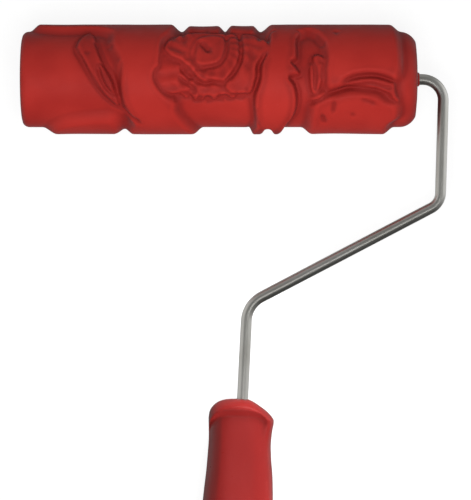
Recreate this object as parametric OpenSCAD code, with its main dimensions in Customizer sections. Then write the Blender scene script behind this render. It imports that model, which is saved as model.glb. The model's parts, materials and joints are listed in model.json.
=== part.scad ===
// Pattern roller: a rubber sleeve with a raised rose pattern, turning on a bent steel rod
// with a moulded handle.
// The tool is drawn flat (roller axis along X, rod in the XY plane) and then laid on a table,
// where it rests on the roller and on the tail of the handle. +Z is up.

/* [Roller] */
// Length of the rubber sleeve over its rounded ends
sleeve_len = 180; // [150:1:240]
// Radius of the sleeve's ground, between the raised pattern
ground_r = 21.7; // [20:0.1:22.5]
// Radius over the raised pattern
relief_r = 25; // [24:0.1:27]
// Outer radius of the plastic core tube
core_r = 17.5; // [16.5:0.1:18.5]
// Wall thickness of the core tube
core_wall = 2.5; // [2:0.1:3]

/* [Rod] */
// Diameter of the steel rod
rod_d = 5; // [4.6:0.1:5.4]
// Diameter of the stepped journal at the rod's free end
journal_d = 4; // [3.6:0.1:4.2]
// Distance from the roller's middle to the rod's drop
arm_reach = 102.2; // [101:0.1:106]
// Bend radius next to the roller, on the rod's centre line
shoulder_bend = 9.5; // [8:0.1:9.8]
// Bend radius of the elbow, on the centre line
elbow_bend = 8; // [6:0.5:10]
// Bend radius of the neck, on the centre line
neck_bend = 13; // [8:0.5:16]
// Distance of the elbow's corner below the roller's axis
elbow_drop = 56.4; // [50:0.1:65]
// Distance of the neck's corner below the roller's axis
neck_drop = 102.5; // [95:0.5:115]
// Offset of the neck's corner from the roller's middle
neck_x = 12.6; // [8:0.1:18]
// Lean of the neck and the handle, in degrees
handle_lean = 2.8; // [0:0.1:4]
// Bare rod between the neck's corner and the handle
neck_len = 43.2; // [38:0.5:60]

/* [Handle] */
// Length of the handle
handle_len = 125; // [120:1:135]
// Inner (minor) radius of the pole socket's thread
socket_r = 7.1; // [6.8:0.05:7.4]
// Depth of the pole socket's hole
socket_depth = 34; // [30:1:38]

/* [Fits] */
// Radial running clearance between a bush and the rod
running_gap = 0.05; // [0.03:0.01:0.09]
// Axial play between a bush and a thrust washer
end_play = 0.35; // [0.3:0.05:0.5]

/* [Hidden] */
$fn = 96;

rubber_red = [0.66, 0.16, 0.14];
handle_red = [0.72, 0.19, 0.19];
steel = [0.62, 0.62, 0.60];
zinc = [0.72, 0.72, 0.70];
nylon = [0.90, 0.89, 0.84];
tube_grey = [0.80, 0.80, 0.78];
socket_black = [0.10, 0.10, 0.11];

half_len = sleeve_len / 2;
rod_r = rod_d / 2;
journal_r = journal_d / 2;
core_in_r = core_r - core_wall;
round_left = 3;      // corner radius at the sleeve's left end
round_right = 8;     // corner radius at the sleeve's right end
crown = 0.9;         // how far the right end face swells out over its width
low_field = 1.1;     // the rose's ground and two petals lie this far below the other fields
field_root = 6;      // the fields' prisms start this far out from the axis
field_half = 90;     // half length of the sleeve that the fields' points are given for
flange_t = 3;        // depth of a cap's flange, from the tube's end to the sleeve's end

// Left bearing, from the roller's middle outwards
bush_r = 5;
bush_in_x = half_len - 18.2;
bush_out_x = half_len - 6.8;
bush_flange_t = 1.2;
bush_flange_r = 7;
pocket_r = 7.5;
washer_t = 0.8;
inner_washer_r = 4.5;
outer_washer_r = 5.5;
inner_washer_x = bush_in_x - end_play;
outer_washer_x = bush_out_x + end_play;
nut_x = outer_washer_x + washer_t;
nut_t = 0.6;
nut_r = 5.6;
nut_seat_r = 3.6;     // where the nut's teeth start to rise
nut_rise = 0.9;       // height of the cone of teeth
axle_end_x = nut_x + 2.1;
plug_t = 1.4;
plug_skirt = 2;
plug_wall = 1.2;

// What both end caps have inside
boss_r = pocket_r + 1.6;
spigot_wall = 2;
spigot_end = 14;      // the spigot reaches this far in from the sleeve's end
bore_reach = 30;      // the caps are bored this far in from the sleeve's end
dish = 0.4;           // how far a cap's rim lies in from its middle
ribs = 6;
rib_len = 8;
rib_t = 1.6;

// Right bearing
right_bush_in_x = half_len - 15;
right_bush_out_x = half_len - 3.5;
nub_r = 3.65;
nub_len = 1;
nub_gap = 0.4;

// The rod's corners in the plane of the tool
drop_slant = 1.6;    // the drop leans in by this much towards the elbow
lean_dir = [-sin(handle_lean), -cos(handle_lean)];
neck_corner = [neck_x, -neck_drop];
elbow_corner = [arm_reach - drop_slant, -elbow_drop];
shoulder_corner = [arm_reach, 0];
shaft_start = [-inner_washer_x + washer_t, 0];
handle_top = neck_corner + neck_len * lean_dir;
rod_in_handle = 62;
rod_end = handle_top + rod_in_handle * lean_dir;
anchor_w = 7.5;      // width of the flattened anchor ears inside the handle
anchor_t = 2.4;
anchor_len = 9;
anchor_at = 50;      // from the handle's top
bend_lap = 0.1;       // straight runs reach this far into a bend
bend_necking = 0.04;  // a bent rod is a little thinner on its bends

// Pole socket insert
socket_out_r = 9.6;
socket_lip_r = 11.4;
socket_lip_t = 1.6;
socket_len = 40;
seat_len = socket_len + 8;  // the handle's hollow runs on past the insert

// Half widths of the handle seen from the front, as [distance from the top, half width]
right_edge = [[0, 2.6], [1.3, 5.6], [4.9, 11.1], [8.2, 14.3], [10.4, 14.7], [14, 14.2], [20, 13.9],
              [27, 14.4], [34, 15.3], [44, 16.0], [60, 16.5], [78, 15.8], [96, 14.2], [108, 13.7],
              [118, 14.3], [handle_len - 2, 14.3], [handle_len, 12.8]];
left_edge = [[0, 3.4], [0.5, 8.0], [2.2, 11.8], [5.2, 14.3], [8.6, 15.0], [13, 14.8], [19, 14.5],
             [27, 14.7], [34, 15.0], [44, 15.7], [60, 16.4], [78, 15.7], [96, 14.2], [108, 13.7],
             [118, 14.3], [handle_len - 2, 14.3], [handle_len, 12.8]];
// Half thickness of the handle, the same in front and behind
side_edge = [[0, 3.0], [0.9, 7.2], [3.2, 10.8], [6.6, 12.8], [9.6, 13.0], [14, 12.2], [20, 11.7],
             [28, 11.9], [40, 13.0], [54, 14.2], [68, 14.4], [84, 13.6], [98, 12.7], [110, 12.7],
             [119, 13.5], [handle_len - 2, 13.5], [handle_len, 12.2]];
corner_room = 0.9;    // the round body is this much wider than the handle's left edge
tail_half_t = 13.67;  // half thickness where the tail touches the table
tail_reach = neck_drop + (neck_len + 121) * cos(handle_lean);

// At rest the roller and the tail of the handle both touch the table
rest_tilt = asin((relief_r - tail_half_t) / tail_reach);
tool_right_x = arm_reach + rod_r - 0.2;
tail_corner = 0.88;  // the tail's lower corner reaches this far past the end of its centre line
tool_low_y = -(neck_drop + (neck_len + handle_len) * cos(handle_lean)) * cos(rest_tilt) - tail_corner;
mid_x = (tool_right_x - half_len) / 2;
mid_y = (relief_r + tool_low_y) / 2;

// ---- helpers ----

// Catmull-Rom curve through the given points, with n steps in each span
function curve_point(a, b, c, d, t) =
    0.5 * ((2 * b) + (c - a) * t + (2 * a - 5 * b + 4 * c - d) * t * t
    + (3 * b - a - 3 * c + d) * t * t * t);
function curve(pts, n = 3) =
    let (last = len(pts) - 1)
    [for (i = [0:last - 1], k = [0:n - 1])
        curve_point(pts[max(i - 1, 0)], pts[i], pts[i + 1], pts[min(i + 2, last)], k / n),
     pts[last]];
function reversed(pts) = [for (i = [len(pts) - 1:-1:0]) pts[i]];
// Quarter arc, or any other arc, in the plane of a lathe profile
function arc(c, r, from, to, n = 8) =
    [for (k = [0:n]) let (a = from + (to - from) * k / n) c + r * [cos(a), sin(a)]];
function turn(u, v) = atan2(u.x * v.y - u.y * v.x, u * v);
function unit(v) = v / norm(v);

// Lays the flat tool on the table, with the origin under the middle of its box
module on_table() {
    translate([-mid_x, -mid_y, relief_r]) rotate([rest_tilt, 0, 0]) children();
}

// Turns a profile of [radius, x] points about the roller's axis
module lathe_x(profile) {
    rotate([0, 90, 0]) rotate_extrude() polygon(profile);
}

// A ring on the roller's axis from x0 to x1
module ring_x(outer, inner, x0, x1) {
    lathe_x([[inner, x0], [outer, x0], [outer, x1], [inner, x1]]);
}

// A solid bar on the roller's axis
module bar_x(r, x0, x1) {
    translate([x0, 0, 0]) rotate([0, 90, 0]) cylinder(r = r, h = x1 - x0);
}

// Straight stretch of rod between two points of the tool's plane
module straight(a, b, r) {
    angle = atan2(b.y - a.y, b.x - a.x);
    translate([a.x, a.y, 0]) rotate([0, 0, angle]) rotate([0, 90, 0]) cylinder(r = r, h = norm(b - a));
}

// Bend of the rod at the corner c, from the direction u to the direction v
module bend(c, u, v, bend_r, r) {
    delta = turn(u, v);
    side = sign(delta);
    start = c - u * bend_r * tan(abs(delta) / 2);
    centre = start + side * bend_r * [-u.y, u.x];
    from = atan2(u.y, u.x) - side * 90;
    translate([centre.x, centre.y, 0])
        rotate([0, 0, side > 0 ? from : from + delta])
            rotate_extrude(angle = abs(delta)) translate([bend_r, 0]) circle(r = r);
}

// How far a bend's straight runs stop short of its corner
function setback(a, c, b, bend_r) = bend_r * tan(abs(turn(unit(c - a), unit(b - c))) / 2);

// ---- the rod ----

module wire_frame() {
    p = [shaft_start, shoulder_corner, elbow_corner, neck_corner, rod_end];
    radii = [0, shoulder_bend, elbow_bend, neck_bend, 0];
    cut = [0, for (i = [1:3]) setback(p[i - 1], p[i], p[i + 1], radii[i]) - bend_lap, 0];
    color(steel) on_table() {
        for (i = [0:3]) {
            u = unit(p[i + 1] - p[i]);
            straight(p[i] + u * cut[i], p[i + 1] - u * cut[i + 1], rod_r);
        }
        for (i = [1:3])
            bend(p[i], unit(p[i] - p[i - 1]), unit(p[i + 1] - p[i]), radii[i], rod_r - bend_necking);
        bar_x(journal_r, -axle_end_x, shaft_start.x);
        in_handle() anchor_ears();
    }
}

// The handle's own frame: its top at the origin, its tail towards -Y
module in_handle() {
    translate([handle_top.x, handle_top.y, 0]) rotate([0, 0, -handle_lean]) children();
}

// Flattened ears of the rod that lock it in the handle
module anchor_ears() {
    translate([-anchor_w / 2, -anchor_at - anchor_len, -anchor_t / 2])
        cube([anchor_w, anchor_len, anchor_t]);
}

// ---- the handle ----

// Outline between two edges, each a list of [distance from the top, half width]
module outline(right, left) {
    polygon(concat([for (p = curve(right)) [p.y, -p.x]],
                   [for (p = reversed(curve(left))) [-p.y, -p.x]]));
}

// Round body that takes the corners off
module handle_lathe() {
    rotate([90, 0, 0]) rotate_extrude()
        polygon([[0, 0], for (p = curve(left_edge)) [p.y + corner_room, p.x], [0, handle_len]]);
}

module handle() {
    width = 40;
    color(handle_red) on_table() in_handle() difference() {
        intersection() {
            translate([0, 0, -width / 2]) linear_extrude(width) outline(right_edge, left_edge);
            rotate([0, 90, 0]) translate([0, 0, -width / 2])
                linear_extrude(width) outline(side_edge, side_edge);
            handle_lathe();
        }
        rotate([90, 0, 0]) translate([0, 0, -1]) cylinder(r = rod_r, h = rod_in_handle + 1);
        anchor_ears();
        translate([0, -handle_len + seat_len, 0]) rotate([90, 0, 0])
            cylinder(r = socket_out_r, h = seat_len + 1);
        translate([0, -handle_len + socket_lip_t, 0]) rotate([90, 0, 0])
            cylinder(r = socket_lip_r, h = socket_lip_t + 1);
    }
}

module pole_socket() {
    color(socket_black) on_table() in_handle() translate([0, -handle_len, 0]) rotate([-90, 0, 0])
        difference() {
            union() {
                cylinder(r = socket_out_r, h = socket_len);
                cylinder(r = socket_lip_r, h = socket_lip_t);
            }
            translate([0, 0, -1]) cylinder(r = socket_r, h = socket_depth + 1);
        }
}

// ---- what holds the roller on ----

module thrust_washer_inner() {
    color(zinc) on_table()
        ring_x(inner_washer_r, journal_r, -inner_washer_x, -inner_washer_x + washer_t);
}

module thrust_washer_outer() {
    color(zinc) on_table() ring_x(outer_washer_r, journal_r, -nut_x, -outer_washer_x);
}

// Sprung nut: a flat rim and a cone of teeth that bites on the journal
module push_nut() {
    teeth = 6;
    slit = [3, 2.2, 0.5];
    color(zinc) on_table() difference() {
        lathe_x([[journal_r, -nut_x - nut_t - nut_rise], [journal_r + nut_t, -nut_x - nut_t - nut_rise],
                 [nut_seat_r + nut_t, -nut_x - nut_t], [nut_r, -nut_x - nut_t], [nut_r, -nut_x],
                 [nut_seat_r, -nut_x], [journal_r, -nut_x - nut_rise]]);
        for (i = [0:teeth - 1]) rotate([i * 360 / teeth, 0, 0])
            translate([-nut_x - 2, journal_r - 0.8, -slit.z / 2]) cube(slit);
    }
}

// ---- the roller ----

// Points [x, angle] of each raised field; angle 0 faces up from the table, 90 away from the handle
// Stem leaf left of the rose
leaf_left = [[-64, 34], [-61, 20], [-57.4, 0], [-54, -14], [-50.5, -25], [-45.5, -38], [-45.2, -24],
             [-46.8, -10], [-49.2, 4], [-52.6, 22], [-55.4, 42], [-60, 46]];
field_left = [[-48.5, 40], [-45.3, 21], [-44.6, 6], [-44.9, -10], [-43.6, -28], [-40.8, -44], [-38, -58],
              [-17, -58], [-18.8, -36], [-19.5, -26], [-24, -19], [-28.2, -6], [-28.4, 3], [-26, 12],
              [-25.6, 23], [-27, 38], [-24, 58], [-46, 58]];
rose_low = [[-25, 20], [-24.5, 36], [-19, 50], [-14.5, 58], [15.4, 58], [18, 46], [23, 40], [20.6, 26],
            [17.6, 14], [17.4, 0], [14.6, -18], [9, -22], [5, -25], [0, -24], [-5, -28], [-10, -28],
            [-14.6, -23], [-17, -16], [-22, -16], [-26.5, -4], [-26, 5], [-24, 12]];
petal_centre = [[-12.5, 36], [-12, 20], [-5, 14], [1, 17], [3, 38], [-1, 46], [-8, 46]];
petal_ring = [[9.6, 46], [9.2, 18], [7, 5], [2, -4], [-7, 0], [-9, 7], [-1, 10.5], [2.4, 22], [3.8, 46]];
petal_low = [[-23, 33], [-16, 21], [-10, 7], [-5, -2], [3, -6], [12, -2], [15, 3], [14, -16], [2, -22],
             [-11, -24], [-13, -8], [-17, 4], [-22, 18]];
field_right = [[24, 46], [20.4, 24], [18.6, 8], [17.8, -4], [15.8, -18], [16.2, -40], [17.4, -58],
               [30.4, -58], [34.4, -38], [34.8, -24], [33.8, -9], [31.8, 0], [35.4, 3], [32.6, 15],
               [34.8, 24], [34.6, 58], [25, 58]];
stem_right = [[40, -33], [45, -24], [52, -17], [60, -12.6], [70, -14], [77, -23], [76, -14], [79, -6],
              [72, -1.4], [65, 0.6], [57, -4], [55, -12], [48, -17], [42, -26]];
field_far = [[47.5, 40], [47.4, 10], [50, -8], [55, 0], [65, 4.4], [74, 1.6], [80, -3], [79, 58],
             [42, 58]];

// Raised fields round the top, where the pattern shows in the tool's outline
top_left = [[-83, 62], [-80, 54], [-45, 52], [-24, 52], [-21, 66], [-19.5, 90], [-22, 118], [-30, 130],
            [-66, 132], [-80, 124], [-83, 100]];
top_petal_a = [[-14.5, 56], [0.6, 56], [0.4, 118], [-14.6, 118]];
top_petal_b = [[4.4, 56], [15.6, 56], [16.8, 90], [15.8, 118], [4.6, 118]];
top_right = [[24.5, 56], [37, 54], [42, 60], [76, 54], [79, 70], [79.4, 100], [76, 128], [56, 130],
             [38, 122], [26, 124], [22.5, 90]];

// Raised fields along the handle's side
low_left = [[-70, -58], [-47, -50], [-45, -60], [-44.6, -90], [-46, -120], [-70, -128], [-76, -110],
            [-76.4, -80]];
low_mid = [[-41, -56], [-18, -56], [-14, -80], [-10.4, -100], [-16, -128], [-38, -128], [-42, -100]];
low_spikes = [[16.4, -56], [18.2, -84], [17.6, -96], [20.6, -104], [24.4, -96], [25, -84], [28, -70],
              [29.6, -56]];
low_right = [[42, -54], [58, -46], [72, -52], [76, -70], [76.4, -100], [70, -128], [48, -128],
             [40, -108], [39.4, -76]];

// Raised fields underneath: a second rose, its leaves and two broad fields
back_left = [[-80, 138], [-46, 140], [-40, 160], [-37, 190], [-44, 214], [-60, 222], [-79, 214],
             [-82, 180]];
back_rose = [[-18, 150], [-4, 142], [10, 150], [16, 166], [15, 184], [8, 198], [-4, 205], [-16, 200],
             [-25, 188], [-27, 168]];
back_petal = [[-14, 160], [-4, 154], [6, 162], [9, 176], [3, 190], [-8, 193], [-17, 182], [-18, 168]];
back_mid = [[22, 140], [34, 138], [35, 160], [31, 184], [34, 208], [24, 220], [18, 204], [21, 182],
            [23, 160]];
back_right = [[42, 140], [74, 138], [80, 160], [79, 196], [70, 220], [48, 222], [40, 204], [44, 180]];

// Prism through the sleeve's surface whose foot is the outline, seen from the direction dir
module raised(dir, pts) {
    rotate([-dir, 0, 0]) translate([0, 0, field_root]) linear_extrude(relief_r)
        polygon([for (p = pts) [p.x * half_len / field_half, relief_r * sin(p.y - dir)]]);
}

// Outer form of the sleeve's ground, with rounded ends
module sleeve_ground() {
    profile = concat(
        [[0, -half_len + dish], [core_r, -half_len + dish]],
        arc([ground_r - round_left, -half_len + round_left + 0.3], round_left, -70, 0),
        arc([ground_r - round_right, half_len - round_right - 0.1], round_right, 0, 61),
        [[core_r - 1, half_len - crown], [0, half_len - crown]]);
    lathe_x(profile);
}

module pattern_sleeve() {
    low_r = relief_r - low_field;
    color(rubber_red) on_table() difference() {
        union() {
            sleeve_ground();
            intersection() {
                bar_x(relief_r, -half_len, half_len);
                union() {
                    raised(0, leaf_left);
                    raised(0, field_left);
                    raised(0, petal_centre);
                    raised(0, petal_ring);
                    raised(0, petal_low);
                    raised(0, field_right);
                    raised(0, stem_right);
                    raised(0, field_far);
                    raised(90, top_left);
                    raised(90, top_right);
                    raised(-90, low_left);
                    raised(-90, low_mid);
                    raised(-90, low_spikes);
                    raised(-90, low_right);
                    raised(180, back_left);
                    raised(180, back_petal);
                    raised(180, back_mid);
                    raised(180, back_right);
                }
            }
            intersection() {
                bar_x(low_r, -half_len, half_len);
                union() {
                    raised(0, rose_low);
                    raised(90, top_petal_a);
                    raised(90, top_petal_b);
                    raised(180, back_rose);
                }
            }
        }
        bar_x(core_r, -half_len - 1, half_len + 1);
    }
}

module core_tube() {
    color(tube_grey) on_table() ring_x(core_r, core_in_r, -half_len + flange_t, half_len - flange_t);
}

// Ribs between a cap's boss and its spigot, from x towards +X
module cap_ribs(x) {
    for (i = [0:ribs - 1]) rotate([i * 360 / ribs, 0, 0])
        translate([x, boss_r - 0.6, -rib_t / 2]) cube([rib_len, core_in_r - boss_r - 0.4, rib_t]);
}

// Cap at the free end: flange, spigot in the tube, and a boss with a pocket for the nut
module end_cap_left() {
    pocket_end = -bush_out_x + bush_flange_t;
    color(rubber_red) on_table() difference() {
        union() {
            lathe_x([[0, -half_len], [pocket_r + 1.4, -half_len], [core_r, -half_len + dish],
                     [core_r, -half_len + flange_t], [0, -half_len + flange_t]]);
            ring_x(core_in_r, core_in_r - spigot_wall, -half_len + flange_t, -half_len + spigot_end);
            bar_x(boss_r, -half_len + flange_t, -bush_in_x - 0.6);
            cap_ribs(-half_len + flange_t);
        }
        bar_x(bush_r, -half_len, -half_len + bore_reach);
        bar_x(pocket_r, -half_len - 1, pocket_end);
    }
}

// Cap next to the rod's bend, with a small nub round the rod
module end_cap_right() {
    bore = rod_r + nub_gap;
    color(rubber_red) on_table() difference() {
        union() {
            lathe_x([[0, half_len - flange_t], [core_r, half_len - flange_t], [core_r, half_len - crown],
                     [12, half_len - 0.25], [nub_r, half_len], [bore + 0.25, half_len + nub_len],
                     [0, half_len + nub_len]]);
            ring_x(core_in_r, core_in_r - spigot_wall, half_len - spigot_end, half_len - flange_t);
            bar_x(boss_r, right_bush_in_x + bush_flange_t, half_len - flange_t);
            cap_ribs(half_len - flange_t - rib_len);
        }
        bar_x(bush_r, half_len - bore_reach, right_bush_out_x);
        bar_x(bore, half_len - bore_reach, half_len + nub_len + 1);
    }
}

module bearing_bush_left() {
    bore = journal_r + running_gap;
    color(nylon) on_table() {
        ring_x(bush_r, bore, -bush_out_x + bush_flange_t, -bush_in_x);
        ring_x(bush_flange_r, bore, -bush_out_x, -bush_out_x + bush_flange_t);
    }
}

module bearing_bush_right() {
    bore = rod_r + running_gap;
    color(nylon) on_table() {
        ring_x(bush_r, bore, right_bush_in_x + bush_flange_t, right_bush_out_x);
        ring_x(bush_flange_r, bore, right_bush_in_x, right_bush_in_x + bush_flange_t);
    }
}

// Snap-in plug over the nut's pocket
module hub_plug() {
    color(rubber_red) on_table() {
        ring_x(pocket_r, 0, -half_len, -half_len + plug_t);
        ring_x(pocket_r, pocket_r - plug_wall, -half_len + plug_t, -half_len + plug_t + plug_skirt);
    }
}

wire_frame();
handle();
pole_socket();
thrust_washer_inner();
thrust_washer_outer();
push_nut();
pattern_sleeve();
core_tube();
end_cap_left();
end_cap_right();
bearing_bush_left();
bearing_bush_right();
hub_plug();
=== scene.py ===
"""Pattern roller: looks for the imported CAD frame.

The tool lies on a table: the roller's axis runs along X, the handle points towards -Y, and +Z is up.
The CAD nodes that show are replaced by finer pieces of the same outer size; the hidden ones keep
their shape and get materials.
"""
import json
import math

import bpy
import numpy as np
from mathutils import Matrix, Vector


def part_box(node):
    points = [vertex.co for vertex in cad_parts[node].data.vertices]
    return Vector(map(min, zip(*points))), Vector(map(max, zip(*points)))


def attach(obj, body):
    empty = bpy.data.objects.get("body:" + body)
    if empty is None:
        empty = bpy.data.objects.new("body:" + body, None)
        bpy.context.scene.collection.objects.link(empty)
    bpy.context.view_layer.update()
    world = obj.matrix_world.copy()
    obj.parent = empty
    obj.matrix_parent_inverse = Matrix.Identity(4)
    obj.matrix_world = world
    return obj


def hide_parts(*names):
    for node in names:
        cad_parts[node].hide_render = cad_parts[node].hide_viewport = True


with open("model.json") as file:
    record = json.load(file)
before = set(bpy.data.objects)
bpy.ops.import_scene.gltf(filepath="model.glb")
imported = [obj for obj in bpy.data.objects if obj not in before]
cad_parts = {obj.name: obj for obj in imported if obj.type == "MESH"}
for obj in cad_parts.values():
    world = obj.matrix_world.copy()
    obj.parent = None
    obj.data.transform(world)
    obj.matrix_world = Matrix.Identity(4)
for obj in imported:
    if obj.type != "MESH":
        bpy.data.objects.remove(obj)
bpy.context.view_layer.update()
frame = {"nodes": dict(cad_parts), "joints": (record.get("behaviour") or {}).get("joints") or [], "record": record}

MM = 0.001

# ---- driving sizes, in millimetres, as in the CAD model ----

SLEEVE_HALF = 90.0
GROUND_R = 21.7
RELIEF_R = 25.0
CORE_R = 17.5
ROUND_LEFT = 3.0
ROUND_RIGHT = 8.0
ROD_R = 2.5
JOURNAL_R = 2.0
ARM_REACH = 102.2
SHOULDER_BEND = 9.5
ELBOW_BEND = 8.0
NECK_BEND = 13.0
DROP_SLANT = 1.6
ELBOW_DROP = 56.4
NECK_DROP = 102.5
NECK_X = 12.6
HANDLE_LEAN = math.radians(2.8)
NECK_LEN = 43.2
HANDLE_LEN = 125.0
ROD_IN_HANDLE = 62.0
SOCKET_R = 7.1
SOCKET_OUT_R = 9.6
SOCKET_LIP_R = 11.4
SOCKET_LIP_T = 1.6
SOCKET_LEN = 40.0
SOCKET_DEPTH = 34.0
THREAD_PITCH = 5.08
SEAT_DEPTH = 48.0         # how far the socket's hollow reaches into the handle
POCKET_R = 7.5
BUSH_R = 5.0
AXLE_END = 86.45
SHAFT_START = 70.65
CORE_IN_R = 15.0
FLANGE_T = 3.0            # the caps: how thick the flange is,
SPIGOT_LEN = 14.0         # how far the spigot reaches in,
SPIGOT_IN_R = CORE_IN_R - 2.0
BOSS_R = POCKET_R + 1.6   # and how wide the boss round the bush is

# ---- the tool's own frame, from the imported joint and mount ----

joint = frame["joints"][0]
socket = frame["record"]["mounts"][0]
axle_point = Vector(joint["pos_m"])
socket_dir = Vector(socket["axis"])
sleeve_low, sleeve_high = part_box("core_tube")
middle_x = (sleeve_low[0] + sleeve_high[0]) / 2
down = Vector((0, socket_dir.y, socket_dir.z)).normalized()
plane_normal = Vector((1, 0, 0)).cross(-down)
TOOL = Matrix((
    (1, 0, plane_normal.x, middle_x),
    (0, -down.y, plane_normal.y, axle_point.y),
    (0, -down.z, plane_normal.z, axle_point.z),
    (0, 0, 0, 1),
))


def tool_point(x, y, z=0.0):
    """A point of the tool's own frame, given in millimetres, in the row frame."""
    return TOOL @ Vector((x * MM, y * MM, z * MM))


# ---- mesh helpers ----

def new_object(name, verts, faces, smooth=True):
    mesh = bpy.data.meshes.new(name)
    mesh.from_pydata([tuple(v) for v in verts], [], faces)
    mesh.validate()
    mesh.polygons.foreach_set("use_smooth", [smooth] * len(mesh.polygons))
    mesh.update()
    obj = bpy.data.objects.new(name, mesh)
    bpy.context.scene.collection.objects.link(obj)
    return obj


def grid_faces(rows, cols, wrap=True, flip=False):
    """Quads of a grid whose vertices run row by row; wrap closes each row on itself."""
    faces = []
    span = cols if wrap else cols - 1
    for i in range(rows - 1):
        for j in range(span):
            k = (j + 1) % cols
            quad = (i * cols + j, i * cols + k, (i + 1) * cols + k, (i + 1) * cols + j)
            faces.append(quad[::-1] if flip else quad)
    return faces


def end_faces(rows, cols):
    """The two faces that close the ends of a tube of rings."""
    return [tuple(reversed(range(cols))), tuple((rows - 1) * cols + j for j in range(cols))]


def joining_faces(rows, cols, flip=False):
    """Quads from the last ring back to the first, which close a tube of rings on itself."""
    last = (rows - 1) * cols
    quads = [(last + j, last + (j + 1) % cols, (j + 1) % cols, j) for j in range(cols)]
    return [quad[::-1] for quad in quads] if flip else quads


def catmull(points, steps, closed=False):
    """Smooth curve through the points, steps to each span."""
    pts = np.array(points, float)
    n = len(pts)
    out = []
    spans = n if closed else n - 1
    for i in range(spans):
        if closed:
            a, b, c, d = pts[(i - 1) % n], pts[i], pts[(i + 1) % n], pts[(i + 2) % n]
        else:
            a, b, c, d = pts[max(i - 1, 0)], pts[i], pts[i + 1], pts[min(i + 2, n - 1)]
        for k in range(steps):
            t = k / steps
            out.append(0.5 * (2 * b + (c - a) * t + (2 * a - 5 * b + 4 * c - d) * t * t
                              + (3 * b - a - 3 * c + d) * t ** 3))
    if not closed:
        out.append(pts[-1])
    return np.array(out)


def lathe(name, profile, segments=96):
    """Solid of revolution about the roller's axle, from a closed profile of (x, radius) in millimetres."""
    verts = []
    for x, r in profile:
        for j in range(segments):
            a = 2 * math.pi * j / segments
            verts.append(tool_point(x, r * math.sin(a), r * math.cos(a)))
    rows = len(profile)
    return new_object(name, verts, grid_faces(rows, segments) + joining_faces(rows, segments))


# ---- the sleeve's relief ----
# A point is (x in millimetres from the sleeve's middle, angle in degrees round the axis);
# angle 0 faces up from the table, 90 points away from the handle, 180 is underneath.
# The outlines on the front were read off the photograph, unwrapped, with a grid over it.

RELIEF = RELIEF_R - GROUND_R
MEAN_R = 23.4         # radius at which an angle is taken as a distance round the sleeve
FACE_IN = 0.4         # how far the rubber's left end lies inside the cap's face
FLAT_LEFT = -SLEEVE_HALF + ROUND_LEFT + 0.3     # the rounded ends start here
FLAT_RIGHT = SLEEVE_HALF - ROUND_RIGHT - 0.1
COLUMNS = 312
AROUND = 288
RUFFLE = 0.20         # height of the folds that run out over the petals
STROKE = 1.4          # how much wider the rose's cuts are than a knife's
DENSE_SHADE = 2.5            # how much painted shade darkens the rubber where the carving is dense

LEAF_LEFT = [(-64, 34), (-61, 20), (-57.4, 0), (-54, -14), (-50.5, -25), (-45.6, -36), (-45.4, -24),
             (-46.8, -10), (-49.2, 4), (-52.6, 22), (-55.4, 44), (-58, 60), (-62, 52)]
LEAF_SLIVER = [(-53.6, 13), (-52.4, 2), (-50.6, -9), (-47.4, -19), (-47.8, -9), (-50, 4)]
FIELD_LEFT = [(-49.5, 58), (-48.4, 38), (-45.6, 22), (-44.8, 6), (-44.9, -10), (-43.6, -28), (-40.8, -46),
              (-39.5, -64), (-41.5, -82), (-41, -104), (-37, -124), (-26, -130), (-14.5, -124), (-9.6, -104),
              (-11.4, -82), (-15.4, -60), (-19, -42), (-19.6, -28), (-24, -19), (-28, -6), (-28.6, 3),
              (-26.4, 12), (-25.8, 24), (-25, 44), (-21.5, 60), (-19.6, 88), (-21.5, 114), (-31, 128),
              (-48, 124), (-66, 130), (-80, 122), (-83.4, 98), (-82.6, 76), (-72, 68), (-58, 68)]
LOW_LEFT = [(-76, -74), (-70, -58), (-60, -51), (-50, -49), (-46, -58), (-44.8, -78), (-45.4, -104),
            (-49, -124), (-62, -130), (-73, -122), (-77, -98)]
FIELD_RIGHT = [(24, 58), (22.4, 44), (20.6, 26), (18.6, 12), (18.4, -2), (16.2, -18), (15.8, -40),
               (16.4, -64), (14.4, -88), (16.8, -110), (19.4, -94), (21.2, -72), (23.2, -76), (25.2, -108),
               (27.6, -90), (30.4, -62), (33.2, -50), (34.6, -36), (34.8, -22), (33.6, -9), (31.6, -1),
               (35.6, 2.6), (34.6, 9), (32.4, 16), (34.9, 22), (34.8, 44), (35.4, 58)]
TOP_RIGHT = [(24.6, 56), (35.6, 56), (40, 62), (43, 56), (47.2, 36), (47.8, 22), (47, 8), (47.6, -8),
             (50, -14), (55, -11), (57, -4), (61, 0.8), (67, 2.6), (73, 1), (79, -3.6), (81.4, 10),
             (81, 40), (80, 70), (79.4, 100), (76, 126), (58, 131), (40, 124), (26, 126), (21.6, 96),
             (22, 72)]
LOW_RIGHT = [(43.6, -20), (52, -19.5), (59, -15.4), (65, -16.6), (70.6, -18.6), (74.8, -26), (80, -32),
             (80.4, -50), (76.4, -66), (76.6, -100), (71, -127), (54, -131), (43, -116), (39.6, -90),
             (40.4, -66), (41, -44)]
LEAF_RIGHT = [(55.8, -8), (58.4, -2.6), (64.6, 0.2), (71, -1), (78.4, -6.6), (79.4, -16), (80.4, -28),
              (76.6, -23.6), (71.4, -16.4), (66, -14.6), (60.4, -12.6)]
BRANCH = [(42.6, 24), (40.6, 6), (41.6, -16), (43.6, -18), (45.6, -8), (47.2, 9), (46.6, 22)]
BACK_LEFT = [(-80, 138), (-62, 143), (-46, 139), (-40, 160), (-37, 188), (-42, 212), (-52, 226),
             (-66, 222), (-79, 228), (-82.6, 204), (-80, 182), (-83, 160)]
BACK_MID = [(24, 137), (34, 139), (36, 160), (32, 176), (35.4, 196), (34, 216), (24, 232), (17, 218),
            (20, 196), (22.6, 168)]
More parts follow.
